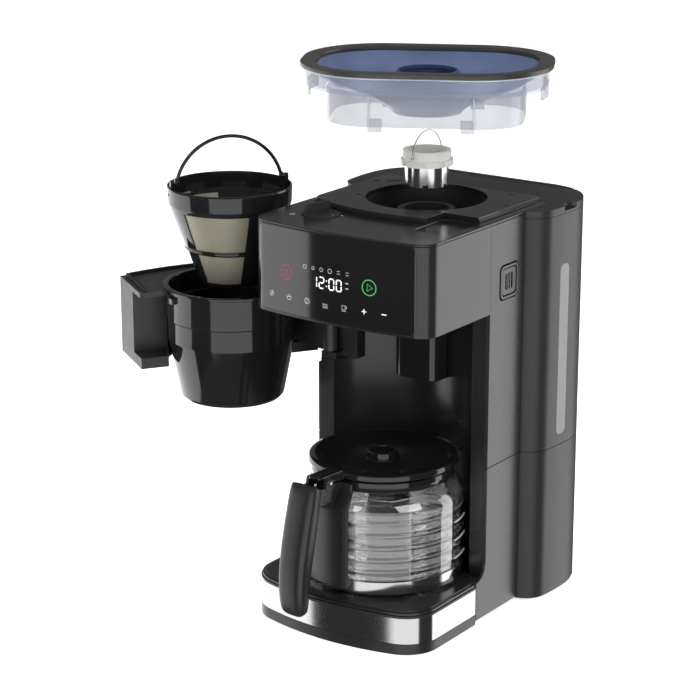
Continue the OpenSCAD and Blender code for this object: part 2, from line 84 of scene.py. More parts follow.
# ------------------------------------------------------------------ camera
cam_data = bpy.data.cameras.new("camera")
cam = bpy.data.objects.new("camera", cam_data)
scene.collection.objects.link(cam)
cam.location = (1.1359, -1.7147, 0.8626)
cam.rotation_euler = (math.radians(90 - 16.747), 0, math.radians(35.255))
cam_data.sensor_width = 36
cam_data.lens = 116.58
cam_data.clip_start = 0.05
cam_data.clip_end = 50
scene.camera = cam
scene.view_settings.view_transform = "Standard"
# ------------------------------------------------------------------ light
world = bpy.data.worlds.new("studio")
scene.world = world
world.use_nodes = True
bg = world.node_tree.nodes["Background"]
bg.inputs["Color"].default_value = (1, 1, 1, 1)
bg.inputs["Strength"].default_value = 0.16


def area(name, loc, target, size, power, size_y=None, glossy=False):
    l = bpy.data.lights.new(name, "AREA")
    l.energy = power
    l.shape = "RECTANGLE"
    l.size = size
    l.size_y = size_y or size
    o = bpy.data.objects.new(name, l)
    o.location = loc
    o.rotation_euler = (Vector(target) - Vector(loc)).to_track_quat("-Z", "Y").to_euler()
    scene.collection.objects.link(o)
    o.visible_camera = False
    o.visible_glossy = glossy
    return o


area("key_right", (2.0, -0.6, 1.3), (0, 0, 0.2), 1.4, 34, 1.4)
area("top_soft", (0.0, 0.2, 2.3), (0, 0, 0.3), 1.6, 34, 1.4)
area("front_soft", (-0.6, -2.2, 1.2), (0, 0, 0.2), 1.4, 24, 1.2)


def card(name, az0, az1, z0, z1, strength, dist=3.0, n=10):
    """upright softbox that glossy surfaces see; azimuth from the front, to the right"""
    me = bpy.data.meshes.new(name)
    vs, fs = [], []
    for i in range(n + 1):
        a = math.radians(az0 + (az1 - az0) * i / n)
        for z in (z0, z1):
            vs.append((math.sin(a) * dist, -math.cos(a) * dist, z))
    for i in range(n):
        fs.append((2 * i, 2 * i + 2, 2 * i + 3, 2 * i + 1))
    me.from_pydata(vs, [], fs)
    m = bpy.data.materials.new(name)
    m.use_nodes = True
    nt = m.node_tree
    nt.nodes.clear()
    e = nt.nodes.new("ShaderNodeEmission")
    e.inputs["Strength"].default_value = strength
    out = nt.nodes.new("ShaderNodeOutputMaterial")
    nt.links.new(e.outputs["Emission"], out.inputs["Surface"])
    me.materials.append(m)
    o = bpy.data.objects.new(name, me)
    scene.collection.objects.link(o)
    o.visible_camera = False
    o.visible_diffuse = False
    o.visible_transmission = False
    o.visible_shadow = False
    o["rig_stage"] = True
    return o


card("box_front", -3, 73, -1.9, 0.9, 1.5)
card("box_left", -140, -41, -1.9, 0.45, 2.0, n=24)
card("gap_left", -41, -3, -1.9, 0.9, 0.05)
card("gap_right", 73, 122, -1.9, 0.9, 0.05)
card("box_right", 122, 162, -1.9, 1.6, 2.4)
# ------------------------------------------------------------------ materials
def new_mat(name):
    m = bpy.data.materials.new(name)
    m.use_nodes = True
    nt = m.node_tree
    b = nt.nodes["Principled BSDF"]
    return m, nt, b


def coords(nt, scale=(1, 1, 1)):
    tc = nt.nodes.new("ShaderNodeTexCoord")
    mp = nt.nodes.new("ShaderNodeMapping")
    mp.inputs["Scale"].default_value = scale
    nt.links.new(tc.outputs["Object"], mp.inputs["Vector"])
    return mp.outputs["Vector"]


def noise(nt, vec, scale, detail=2.0, rough=0.5):
    n = nt.nodes.new("ShaderNodeTexNoise")
    n.inputs["Scale"].default_value = scale
    n.inputs["Detail"].default_value = detail
    n.inputs["Roughness"].default_value = rough
    nt.links.new(vec, n.inputs["Vector"])
    return n.outputs["Fac"]


def ramp(nt, fac, stops):
    r = nt.nodes.new("ShaderNodeValToRGB")
    e = r.color_ramp.elements
    e[0].position, e[0].color = stops[0][0], stops[0][1]
    e[1].position, e[1].color = stops[-1][0], stops[-1][1]
    for p, c in stops[1:-1]:
        k = e.new(p)
        k.color = c
    nt.links.new(fac, r.inputs["Fac"])
    return r.outputs["Color"]


def grey(v, a=1):
    return (v, v, v, a)


def bump(nt, b, height, strength, dist=0.0002):
    n = nt.nodes.new("ShaderNodeBump")
    n.inputs["Strength"].default_value = strength
    n.inputs["Distance"].default_value = dist
    nt.links.new(height, n.inputs["Height"])
    nt.links.new(n.outputs["Normal"], b.inputs["Normal"])


def plastic(name, col, rough, grain=0.12, grain_scale=2600, var=0.25, spread=0.05, coat=0.0):
    """moulded plastic: fine grain, slow change of tone and of gloss"""
    m, nt, b = new_mat(name)
    v = coords(nt)
    slow = noise(nt, v, 9, 3)
    lo = tuple(c * (1 - var) for c in col) + (1,)
    hi = tuple(c * (1 + var) for c in col) + (1,)
    nt.links.new(ramp(nt, slow, [(0.3, lo), (0.7, hi)]), b.inputs["Base Color"])
    mid = noise(nt, v, 60, 4, 0.6)
    nt.links.new(ramp(nt, mid, [(0.25, grey(rough - spread)), (0.75, grey(rough + spread))]), b.inputs["Roughness"])
    if grain:
        bump(nt, b, noise(nt, v, grain_scale, 3, 0.6), grain, 0.00015)
    b.inputs["Coat Weight"].default_value = coat
    b.inputs["Coat Roughness"].default_value = 0.06
    return m


def metal(name, col, rough, stretch=(1, 1, 1), scale=900, depth=0.08, spread=0.06):
    """steel with fine drawn lines"""
    m, nt, b = new_mat(name)
    v = coords(nt, stretch)
    f = noise(nt, v, scale, 4, 0.6)
    lo = tuple(c * 0.9 for c in col) + (1,)
    nt.links.new(ramp(nt, f, [(0.3, lo), (0.7, tuple(col) + (1,))]), b.inputs["Base Color"])
    nt.links.new(ramp(nt, f, [(0.3, grey(rough - spread)), (0.7, grey(rough + spread))]), b.inputs["Roughness"])
    b.inputs["Metallic"].default_value = 1
    bump(nt, b, f, depth, 0.00005)
    return m


def clear(name, col, rough, ior=1.45, trans=1.0, alpha=1.0, slow=0.04):
    m, nt, b = new_mat(name)
    v = coords(nt)
    f = noise(nt, v, 40, 3)
    lo = tuple(max(0, c * (1 - slow)) for c in col) + (1,)
    nt.links.new(ramp(nt, f, [(0.3, lo), (0.7, tuple(col) + (1,))]), b.inputs["Base Color"])
    nt.links.new(ramp(nt, f, [(0.3, grey(max(0, rough - 0.01))), (0.7, grey(rough + 0.02))]), b.inputs["Roughness"])
    b.inputs["Transmission Weight"].default_value = trans
    b.inputs["IOR"].default_value = ior
    b.inputs["Alpha"].default_value = alpha
    return m
def smoke(name, col, rough, alpha):
    """thin tinted clear plastic"""
    m, nt, b = new_mat(name)
    v = coords(nt)
    f = noise(nt, v, 30, 3)
    lo = tuple(c * 0.85 for c in col) + (1,)
    hi = tuple(min(1, c * 1.12) for c in col) + (1,)
    nt.links.new(ramp(nt, f, [(0.3, lo), (0.7, hi)]), b.inputs["Base Color"])
    nt.links.new(ramp(nt, f, [(0.3, grey(rough)), (0.7, grey(rough + 0.06))]), b.inputs["Roughness"])
    b.inputs["Alpha"].default_value = alpha
    return m


def glow(name, col, strength):
    m, nt, b = new_mat(name)
    v = coords(nt)
    f = noise(nt, v, 300, 2)
    lo = tuple(c * 0.9 for c in col) + (1,)
    nt.links.new(ramp(nt, f, [(0.3, lo), (0.7, tuple(col) + (1,))]), b.inputs["Base Color"])
    b.inputs["Roughness"].default_value = 0.4
    b.inputs["Emission Color"].default_value = tuple(col) + (1,)
    b.inputs["Emission Strength"].default_value = strength
    return m


def weave(name, col):
    """woven wire cloth: crossed ridges a little under half a millimetre apart"""
    m, nt, b = new_mat(name)
    tc = nt.nodes.new("ShaderNodeTexCoord")
    waves = []
    for rot in (0.785, -0.785):
        mp = nt.nodes.new("ShaderNodeMapping")
        mp.inputs["Rotation"].default_value = (rot, 0.4, 0)
        nt.links.new(tc.outputs["Object"], mp.inputs["Vector"])
        w = nt.nodes.new("ShaderNodeTexWave")
        w.bands_direction = "Z"
        w.inputs["Scale"].default_value = 430
        w.inputs["Distortion"].default_value = 0.4
        nt.links.new(mp.outputs["Vector"], w.inputs["Vector"])
        waves.append(w.outputs["Fac"])
    mx = nt.nodes.new("ShaderNodeMath")
    mx.operation = "MAXIMUM"
    nt.links.new(waves[0], mx.inputs[0])
    nt.links.new(waves[1], mx.inputs[1])
    # base colour drops to about half in the troughs between the wires: painted shade
    lo = tuple(c * 0.55 for c in col) + (1,)
    nt.links.new(ramp(nt, mx.outputs[0], [(0.2, lo), (0.9, tuple(col) + (1,))]), b.inputs["Base Color"])
    nt.links.new(ramp(nt, mx.outputs[0], [(0.2, grey(0.55)), (0.9, grey(0.38))]), b.inputs["Roughness"])
    b.inputs["Metallic"].default_value = 0.55
    bump(nt, b, mx.outputs[0], 0.35, 0.0001)
    return m


M = {
    "black": plastic("black_plastic", (0.013, 0.013, 0.0135), 0.36),
    "dark": plastic("dark_plastic", (0.020, 0.020, 0.021), 0.42, grain=0.18),
    "satin": plastic("satin_black", (0.012, 0.012, 0.0125), 0.22, grain=0.035, spread=0.02),
    "top": plastic("top_black", (0.013, 0.013, 0.0135), 0.20, grain=0.04, spread=0.02),
    "side": plastic("side_black", (0.018, 0.018, 0.019), 0.27, grain=0.0, spread=0.008, var=0.05),
    "gloss": plastic("gloss_plastic", (0.008, 0.008, 0.0085), 0.085, grain=0.012, spread=0.015, coat=0.2),
    "panel": plastic("panel_glass", (0.007, 0.007, 0.0075), 0.09, grain=0.0, spread=0.015, coat=0.3),
    "tank": plastic("tank_plastic", (0.014, 0.014, 0.0145), 0.40, grain=0.02, spread=0.01, var=0.06),
    "grip": plastic("grip_plastic", (0.012, 0.012, 0.0125), 0.33, grain=0.06, spread=0.02, var=0.1),
    "rubber": plastic("rubber", (0.012, 0.012, 0.012), 0.75, grain=0.25),
    "steel": metal("brushed_steel", (0.74, 0.74, 0.75), 0.24, (1, 1, 30), 500),
    "band": metal("band_steel", (0.52, 0.52, 0.52), 0.13, (1, 1, 60), 260, 0.03, 0.03),
    "burr": metal("burr_steel", (0.74, 0.74, 0.75), 0.15, (1, 1, 40), 700, 0.04, 0.04),
    "white": plastic("white_plastic", (0.62, 0.61, 0.57), 0.42, grain=0.05, var=0.06),
    "grey": plastic("grey_plate", (0.055, 0.055, 0.056), 0.34, grain=0.1, var=0.1),
    "board": plastic("board_green", (0.02, 0.10, 0.05), 0.4, grain=0.05),
    "plate": plastic("plate_coat", (0.014, 0.014, 0.0145), 0.34, grain=0.08),
    "bowl": smoke("hopper_bowl", (0.082, 0.110, 0.205), 0.12, 0.90),
    "skirt": smoke("hopper_skirt", (0.38, 0.40, 0.46), 0.16, 0.42),
    "wall": smoke("hopper_wall", (0.33, 0.37, 0.48), 0.14, 0.28),
    "guard": smoke("hopper_guard", (0.035, 0.052, 0.115), 0.12, 0.95),
    "lip": smoke("hopper_lip", (0.50, 0.54, 0.63), 0.16, 0.72),
    "glass": clear("carafe_clear", (0.98, 0.985, 0.985), 0.0, 1.45, 1.0),
    "window": clear("window_frost", (0.25, 0.253, 0.256), 0.45, 1.3, 0.12),
    "rim": plastic("hopper_rim_plastic", (0.026, 0.026, 0.025), 0.34, grain=0.05),
    "weave": weave("wire_cloth", (0.40, 0.38, 0.29)),
    "lamp": glow("panel_white", (0.80, 0.82, 0.84), 0.55),
    "dim": glow("panel_grey", (0.45, 0.46, 0.48), 0.21),
    "red": glow("panel_red", (0.40, 0.02, 0.03), 0.13),
    "green": glow("panel_green", (0.05, 0.42, 0.12), 0.32),
    # printed white marks with a faint painted glow: painted light, the print is no lamp
    "mark": glow("print_white_glow", (0.70, 0.70, 0.70), 0.05),
    # near-black painted shade, laid where the lid vents, the filter pin ends and the gap round the side button show
    # dark
    "hole": plastic("painted_hole_shade", (0.004, 0.004, 0.004), 0.6, grain=0.1),
}

g = M["glass"].node_tree.nodes["Principled BSDF"]
g.inputs["Specular IOR Level"].default_value = 1.0
g.inputs["Coat Weight"].default_value = 1.0
g.inputs["Coat IOR"].default_value = 1.75
g.inputs["Coat Roughness"].default_value = 0.015

NODE_MAT = {
    "base_shell": "black", "base_plate": "dark", "rubber_feet": "rubber", "trim_band": "band", "base_deck": "top",
    "hot_plate": "plate", "plate_seal": "rubber", "heater_coil": "steel", "column_core": "satin", "side_panels": "side",
    "lower_panels": "side", "rear_housing": "tank", "head_shell": "satin", "front_glass": "panel", "control_board": "board",
    "display_unit": "dark", "top_cover": "top", "top_deck": "top", "well_cup": "black", "grind_chamber": "dark",
    "grounds_chute": "dark", "motor_housing": "gloss", "grind_motor": "steel", "motor_spindle": "steel",
    "burr_drive": "burr", "shower_head": "dark", "riser_tube": "white", "inlet_tube": "white", "side_button": "dark",
    "grind_selector": "dark", "deck_screws": "steel", "base_screws": "steel", "cord_gland": "rubber",
    "hinge_bracket": "black", "hinge_pin": "steel", "door_shell": "dark", "door_gasket": "rubber", "brew_basket": "gloss",
    "drip_valve": "white", "filter_frame": "gloss", "filter_mesh": "weave", "filter_bail": "gloss",
    "hopper_collar": "bowl", "hopper_body": "bowl", "hopper_rim": "rim", "burr_ring": "burr", "burr_collar": "white",
    "burr_bail": "steel", "carafe_glass": "glass", "carafe_band": "band", "carafe_collar": "gloss", "carafe_handle": "grip",
    "carafe_lid": "black", "lid_pin": "steel", "tank_body": "tank", "tank_window": "window", "tank_lid": "tank",
    "tank_lid_pin": "steel", "tank_valve": "white",
}
# edge rounding in mm for the carried over shapes
ROUND = {
    "base_shell": 1.6, "base_deck": 1.4, "column_core": 1.2, "side_panels": 0.6, "lower_panels": 0.6, "rear_housing": 0.9,
    "head_shell": 1.0, "front_glass": 1.9, "top_cover": 1.0, "top_deck": 0.6, "well_cup": 0.5, "motor_housing": 3.0,
    "door_shell": 0.9, "brew_basket": 0.7, "filter_frame": 0.5, "hopper_rim": 1.5, "hopper_body": 0.5,
    "carafe_handle": 3.0, "carafe_lid": 0.7, "carafe_collar": 0.8, "tank_body": 0.5, "tank_lid": 0.7, "side_button": 0.6,
    "grind_selector": 0.5, "hinge_bracket": 1.0, "hot_plate": 0.6, "plate_seal": 0.5, "trim_band": 0.25, "hopper_collar": 0.4,
    "burr_collar": 0.3, "burr_ring": 0.3, "shower_head": 0.3, "cord_gland": 0.5, "rubber_feet": 0.4, "base_plate": 0.4,
}


def dress(node, seg=3):
    o = N[node]
    me = o.data
    me.materials.clear()
    me.materials.append(M[NODE_MAT[node]])
    if "custom_normal" in me.attributes:
        me.attributes.remove(me.attributes["custom_normal"])
    me.polygons.foreach_set("use_smooth", [True] * len(me.polygons))
    w = o.modifiers.new("weld", "WELD")
    w.merge_threshold = 0.000005
    d = o.modifiers.new("flat", "DECIMATE")
    d.decimate_type = "DISSOLVE"
    d.angle_limit = math.radians(0.6)
    b = o.modifiers.new("edge", "BEVEL")
    b.width = ROUND.get(node, 0.25) * MM
    b.segments = seg
    b.limit_method = "ANGLE"
    b.angle_limit = math.radians(35)
    b.use_clamp_overlap = True
    b.miter_outer = "MITER_ARC"
    wn = o.modifiers.new("normals", "WEIGHTED_NORMAL")
    wn.weight = 60
    wn.keep_sharp = False


for n in N:
    dress(n)


def mk(name, verts, faces, mat, body, reps=(), smooth=38):
    me = bpy.data.meshes.new(name)
    bm = bmesh.new()
    vs = [bm.verts.new((x * MM, y * MM, z * MM)) for x, y, z in verts]
    for f in faces:
        if len(set(f)) > 2:
            bm.faces.new([vs[i] for i in f])
    bmesh.ops.remove_doubles(bm, verts=bm.verts, dist=0.000002)
    bmesh.ops.recalc_face_normals(bm, faces=bm.faces)
    bm.to_mesh(me)
    bm.free()
    me.polygons.foreach_set("use_smooth", [True] * len(me.polygons))
    me.set_sharp_from_angle(angle=math.radians(smooth))
    me.materials.append(M[mat])
    o = bpy.data.objects.new(name, me)
    scene.collection.objects.link(o)
    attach(o, body)
    if reps:
        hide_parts(*reps)
    return o


def soften(o, width, seg=3, angle=30):
    b = o.modifiers.new("edge", "BEVEL")
    b.width = width * MM
    b.segments = seg
    b.limit_method = "ANGLE"
    b.angle_limit = math.radians(angle)
    wn = o.modifiers.new("normals", "WEIGHTED_NORMAL")
    wn.weight = 60
    return o


def fillet(pts, n=5, closed=True):
    """pts (a, b, radius): corners become arcs"""
    out = []
    m = len(pts)
    for i in range(m):
        x, y, r = pts[i]
        if r <= 0 or (not closed and i in (0, m - 1)):
            out.append((x, y))
            continue
        p = Vector((x, y))
        a = Vector(pts[i - 1][:2]) - p
        c = Vector(pts[(i + 1) % m][:2]) - p
        la, lc = a.length, c.length
        a.normalize()
        c.normalize()
        ang = a.angle(c)
        t = min(r / math.tan(ang / 2), la * 0.49, lc * 0.49)
        rr = t * math.tan(ang / 2)
        mid = (a + c).normalized() * (rr / math.sin(ang / 2)) + p
        s, e = p + a * t - mid, p + c * t - mid
        a0 = math.atan2(s.y, s.x)
        d = math.atan2(e.y, e.x) - a0
        while d > math.pi:
            d -= 2 * math.pi
        while d < -math.pi:
            d += 2 * math.pi
        for k in range(n + 1):
            q = a0 + d * k / n
            out.append((mid.x + rr * math.cos(q), mid.y + rr * math.sin(q)))
    return out


def lathe(name, prof, c, mat, body, seg=120, reps=(), smooth=38, closed=True, a0=0.0, a1=360.0):
    full = abs(a1 - a0) >= 359.9
    vs, fs = [], []
    m = len(prof)
    cnt = seg if full else seg + 1
    for i in range(cnt):
        a = math.radians(a0 + (a1 - a0) * i / seg)
        ca, sa = math.cos(a), math.sin(a)
        for r, z in prof:
            vs.append((c[0] + r * ca, c[1] + r * sa, z))
    for i in range(seg):
        j = (i + 1) % cnt
        for p in range(m if closed else m - 1):
            q = (p + 1) % m
            fs.append((i * m + p, j * m + p, j * m + q, i * m + q))
    if not full and closed:
        fs.append(tuple(range(m)))
        fs.append(tuple((cnt - 1) * m + p for p in reversed(range(m))))
    return mk(name, vs, fs, mat, body, reps, smooth)


def loft(name, rings, mat, body, reps=(), smooth=38, loop=False, caps=True):
    n = len(rings[0])
    vs = [p for r in rings for p in r]
    fs = []
    k = len(rings)
    for i in range(k if loop else k - 1):
        j = (i + 1) % k
        for p in range(n):
            q = (p + 1) % n
            fs.append((i * n + p, i * n + q, j * n + q, j * n + p))
    if caps and not loop:
        fs.append(tuple(reversed(range(n))))
        fs.append(tuple((k - 1) * n + p for p in range(n)))
    return mk(name, vs, fs, mat, body, reps, smooth)


def sweep(name, path, rad, mat, body, seg=14, closed=False, reps=(), flat=1.0):
    pts = [Vector(p) for p in path]
    n = len(pts)
    tang = []
    for i in range(n):
        a = pts[i - 1] if (closed or i > 0) else pts[i]
        c = pts[(i + 1) % n] if (closed or i < n - 1) else pts[i]
        tang.append((c - a).normalized())
    up = Vector((0, 0, 1)) if abs(tang[0].z) < 0.9 else Vector((1, 0, 0))
    u = (up - tang[0] * up.dot(tang[0])).normalized()
    rings = []
    for i in range(n):
        u = (u - tang[i] * u.dot(tang[i])).normalized()
        w = tang[i].cross(u)
        r = rad(i / (n - 1)) if callable(rad) else rad
        rings.append([tuple(pts[i] + u * (r * math.cos(2 * math.pi * k / seg)) + w * (r * flat * math.sin(2 * math.pi * k / seg))) for k in range(seg)])
    return loft(name, rings, mat, body, reps, 50, loop=closed)


def prism(name, outline, z0, z1, mat, body, reps=(), place=None, smooth=30):
    """outline in its own x, y; place maps (x, y, z) to the machine"""
    n = len(outline)
    f = place or (lambda x, y, z: (x, y, z))
    vs = [f(x, y, z0) for x, y in outline] + [f(x, y, z1) for x, y in outline]
    fs = [tuple(reversed(range(n))), tuple(range(n, 2 * n))]
    fs += [(i, (i + 1) % n, n + (i + 1) % n, n + i) for i in range(n)]
    return mk(name, vs, fs, mat, body, reps, smooth)


def rrect(w, h, r, n=6, cx=0, cy=0):
    return fillet([(cx - w / 2, cy - h / 2, r), (cx + w / 2, cy - h / 2, r), (cx + w / 2, cy + h / 2, r), (cx - w / 2, cy + h / 2, r)], n)


def oval(a, b, e, n=22):
    """four centre oval as one loop"""
    c = a - e
    R = (c * c + b * b - e * e) / (2 * (b - e))
    ph = math.atan2(R - b, c)
    out = []
    for k in range(n):
        t = -ph + 2 * ph * k / n
        out.append((c + e * math.cos(t), e * math.sin(t)))
    for k in range(n):
        t = ph + (math.pi - 2 * ph) * k / n
        out.append((R * math.cos(t), -(R - b) + R * math.sin(t)))
    for k in range(n):
        t = math.pi - ph + 2 * ph * k / n
        out.append((-c + e * math.cos(t), e * math.sin(t)))
    for k in range(n):
        t = math.pi + ph + (math.pi - 2 * ph) * k / n
        out.append((R * math.cos(t), (R - b) + R * math.sin(t)))
    return out


def turned(cx, cy, deg, z_shift=0):
    ca, sa = math.cos(math.radians(deg)), math.sin(math.radians(deg))
    return lambda x, y, z: (cx + x * ca - y * sa, cy + x * sa + y * ca, z + z_shift)

# ------------------------------------------------------------------ carafe
CA = (0.0, -54.0)
HD = math.radians(-95)


def ribs(z):
    s = 0.0
    for c in (66.0, 77.5, 89.5, 101.5, 113.5):
        s += math.exp(-((z - c) / 2.4) ** 2)
    return s


outer = [(0, 44.4), (69, 44.4), (74.6, 45.2), (77.2, 47.2), (77.6, 50.0)]
zz = 58.0
while zz < 118:
    outer.append((77.8 + 0.06 * ribs(zz), zz))
    zz += 0.8
for k in range(19):
    q = math.radians(67.5 * k / 18)
    outer.append((55.6 + 22 * math.cos(q), 118 + 22 * math.sin(q)))
outer += [(63.6, 140.0), (63.5, 142.5), (63.5, 146), (63.9, 149.4), (63.3, 150.4)]
inner = [(62.1, 150.4), (61.7, 149.2), (61.4, 146), (61.5, 141), (61.9, 138.6)]
for k in range(19):
    q = math.radians(66 * (18 - k) / 18)
    inner.append((55.6 + 19.9 * math.cos(q), 118 + 19.9 * math.sin(q)))
zz = 117.0
while zz > 58:
    inner.append((75.3 + 0.7 * ribs(zz), zz))
    zz -= 0.8
inner += [(75.4, 50.4), (74.6, 48.4), (71.5, 47.2), (40, 46.8), (0, 46.6)]
lathe("carafe_jug", outer + inner, CA, "glass", "carafe", 160, ("carafe_glass",), 60, closed=False)
# short level marks on the right of the glass, in the faintly glowing print (painted light)
for k, z in enumerate((66.0, 84.0, 102.0)):
    mk_ = [(78.25, z), (78.45, z), (78.45, z + 0.7), (78.25, z + 0.7)]
    lathe("level_mark_%d" % k, mk_, CA, "mark", "carafe", 8, (), 40, a0=3, a1=24)

# lid: dished top with a raised vented hub
lid = fillet([(0, 154.6, 0), (10.2, 154.6, 0.8), (10.8, 160.6, 1.0), (14.6, 160.4, 1.2), (15.6, 152.2, 1.6), (40, 151.6, 6), (59, 155.4, 4),
              (64, 158.6, 2.0), (69.5, 157.6, 1.8), (70.8, 152.2, 1.0), (62.4, 151.2, 0.8), (61.0, 143.6, 0.5), (58.7, 143.6, 0.5), (58.2, 149.0, 0.8),
              (16, 147.6, 0.5), (0, 147.6, 0)], 4, closed=False)
lathe("lid_dome", lid, CA, "gloss", "carafe_cover", 128, ("carafe_lid",), 40, closed=False)
hd = turned(CA[0], CA[1], -95)
# vent slots drawn as near-black pads on the hub: painted shade of the openings
for k in range(6):
    t = turned(CA[0], CA[1], 60 * k + 12)
    prism("lid_vent_shade_%d" % k, rrect(1.6, 4.4, 0.7, 3, 12.7, 0), 159.6, 160.9, "hole", "carafe_cover", place=t)
# thumb lever with hinge knuckle
lev = fillet([(60, -12, 2), (86, -8.3, 2.2), (92.6, -8.3, 2.2), (92.6, 8.3, 2.2), (86, 8.3, 2.2), (60, 12, 2)], 5)
soften(prism("lid_lever", lev, 151.6, 157.4, "gloss", "carafe_cover", place=hd), 1.2)
thumb = fillet([(66, -8.2, 2), (95, -7.8, 3), (99.6, -5.4, 3.5), (99.6, 5.4, 3.5), (95, 7.8, 3), (66, 8.2, 2)], 6)
soften(prism("lid_thumb", thumb, 156.6, 159.6, "gloss", "carafe_cover", place=hd), 1.0)

# collar clamp around the neck
col = fillet([(64.3, 139.8, 0.6), (67.2, 140.4, 0.8), (68.0, 145, 1.5), (67.4, 149.6, 0.8), (64.3, 149.9, 0.5)], 4)
lathe("neck_clamp", col, CA, "gloss", "carafe", 128, ("carafe_collar",), 40)

# handle: bowed grip with a flat top, bridge to the neck and a wide shield along the glass
spine = [((108.4, 154.2), 13.2, 6.4), ((108.9, 152.8), 14.4, 7.4), ((111.0, 146.0), 15.0, 8.2), ((115.8, 124.0), 15.4, 9.2), ((120.6, 101.0), 15.4, 9.7),
         ((124.6, 80.0), 15.1, 9.3), ((126.8, 60.0), 14.6, 8.4), ((126.6, 45.0), 13.8, 7.6), ((126.0, 38.0), 12.4, 6.4), ((125.6, 34.6), 9.6, 4.4)]


def spine_at(s):
    i = min(int(s), len(spine) - 2)
    f = s - i
    p = [spine[max(0, min(len(spine) - 1, i + d))] for d in (-1, 0, 1, 2)]

    def cr(a, b_, c, d):
        return 0.5 * (2 * b_ + (c - a) * f + (2 * a - 5 * b_ + 4 * c - d) * f * f + (3 * b_ - a - 3 * c + d) * f ** 3)
    return (cr(*[q[0][0] for q in p]), cr(*[q[0][1] for q in p]), cr(*[q[1] for q in p]), cr(*[q[2] for q in p]))


def superloop(a, b_, e, n=36):
    out = []
    for k in range(n):
        t = 2 * math.pi * k / n
        c, s = math.cos(t), math.sin(t)
        out.append((a * math.copysign(abs(c) ** (2 / e), c), b_ * math.copysign(abs(s) ** (2 / e), s)))
    return out


rings = []
steps = 60
for i in range(steps + 1):
    s = (len(spine) - 1) * i / steps
    r, z, w, h = spine_at(s)
    r2, z2, _, _ = spine_at(min(len(spine) - 1, s + 0.02))
    r1, z1, _, _ = spine_at(max(0, s - 0.02))
    d = Vector((r2 - r1, z2 - z1)).normalized()
    nrm = Vector((-d.y, d.x))
    ring = []
    for a, b_ in superloop(w, h, 3.6):
        ring.append(hd(r + nrm.x * b_, a, z + nrm.y * b_))
    rings.append(ring)
loft("handle_grip", rings, "grip", "carafe", ("carafe_handle",), 50)
strap = lambda x, y, z: hd(x, z, y)
bridge = fillet([(68.6, 141.6, 0.8), (68.4, 149.6, 0.8), (85.4, 150.0, 0.6), (86.4, 144.4, 0.6), (90, 144.4, 0.6), (90, 133.6, 1), (86.4, 126, 1.5), (81, 126, 1), (79.6, 129.4, 2), (75, 134.6, 3), (70, 140.4, 2)], 4)
soften(prism("handle_bridge", bridge, -8.4, 8.4, "grip", "carafe", place=strap), 0.8)
arm = fillet([(86.8, 135.4, 1.5), (87.2, 144.6, 1), (107, 144.6, 1), (108, 137.6, 2), (104, 134.4, 2)], 4)
soften(prism("handle_arm", arm, -12.3, 12.3, "grip", "carafe", place=strap), 1.0)
cheek = fillet([(87.2, 143.8, 0.5), (87.6, 150.2, 1), (101.4, 150.4, 2), (106, 152, 2), (106, 143.8, 0.5)], 4)
for s in (-1, 1):
    soften(prism("handle_cheek_%d" % (s + 1), cheek, 9.2 * s, 12.3 * s, "grip", "carafe", place=strap), 0.6)
shield = [(79.8, 50.4), (79.8, 119), (78.4, 127), (74.9, 133), (69.4, 139.6), (69.4, 148.8), (72, 148.8), (72.5, 141.2), (78, 135.6), (82, 129), (83.6, 120), (83.6, 50.4)]
soften(lathe("handle_shield", shield, CA, "grip", "carafe", 36, (), 40, a0=-112.4, a1=-78.6), 0.9)
hem = [(83.2, 51.4), (83.2, 120), (81.4, 129), (77.8, 135.2), (78.6, 136.4), (82.8, 129.8), (85.0, 120.4), (85.0, 51.4)]
for k, a in enumerate((-112.2, -81.2)):
    soften(lathe("shield_hem_%d" % k, hem, CA, "grip", "carafe", 6, (), 40, a0=a, a1=a + 2.4), 0.5)
for s in (-1, 1):
    ear = fillet([(83.5, 147, 1), (97, 147, 1), (94.6, 157.2, 2.2), (86, 157.2, 2.2)], 4)
    soften(prism("handle_ear_%d" % (s + 1), ear, 8.9 * s, 12.6 * s, "grip", "carafe", place=strap), 0.6)

# ------------------------------------------------------------------ hopper
hp = turned(0, 16, 28)


def rr(w, h, r, z):
    return [hp(x, y, z) for x, y in rrect(w, h, r, 14)]


bowl = [rr(206, 147, 61.5, 514.6), rr(197, 139, 58, 506.0), rr(173, 122, 51.5, 498.0), rr(140, 104, 46, 491.0), rr(108, 88, 41, 484.0), rr(82, 76, 37, 478.0), rr(71.8, 71.8, 35.1, 474.6),
        rr(67.2, 67.2, 32.9, 474.6), rr(69, 69, 33.8, 478.5), rr(79, 74, 36, 480.8), rr(105, 85.5, 39.8, 486.6), rr(137, 101.5, 44.6, 493.5), rr(170, 119.4, 50.2, 500.4),
        rr(193.6, 136, 56.5, 508.0), rr(203.4, 144.4, 60.2, 514.6)]
loft("hopper_bowl", bowl, "bowl", "hopper", ("hopper_body",), 40, loop=True)
wall = [rr(225.6, 166.6, 71.3, 514.4), rr(224.4, 165.4, 70.7, 501.0), rr(221.6, 162.6, 69.3, 498.0), rr(215, 156, 66, 497.0), rr(184, 127, 41.5, 496.8),
        rr(184, 127, 41.5, 498.8), rr(212, 153, 64.5, 499.2), rr(219.4, 160.4, 68.2, 502.0), rr(221, 162, 69, 514.4)]
loft("hopper_wall", wall, "wall", "hopper", (), 40, loop=True)
lip = [rr(220, 161, 68.6, 513.0), rr(227.4, 168.4, 72.2, 513.2), rr(227.8, 168.8, 72.4, 514.3), rr(220, 161, 68.6, 514.3)]
loft("hopper_lip", lip, "lip", "hopper", (), 40, loop=True)
skirt = [rr(180.8, 123.8, 39.9, 497.4), rr(180.8, 123.8, 39.9, 466.9), rr(179.8, 122.8, 39.4, 466.1), rr(178, 121, 38.5, 466.1), rr(177, 120, 38, 466.9), rr(177, 120, 38, 496.4)]
loft("hopper_skirt", skirt, "skirt", "hopper", (), 40, loop=True)
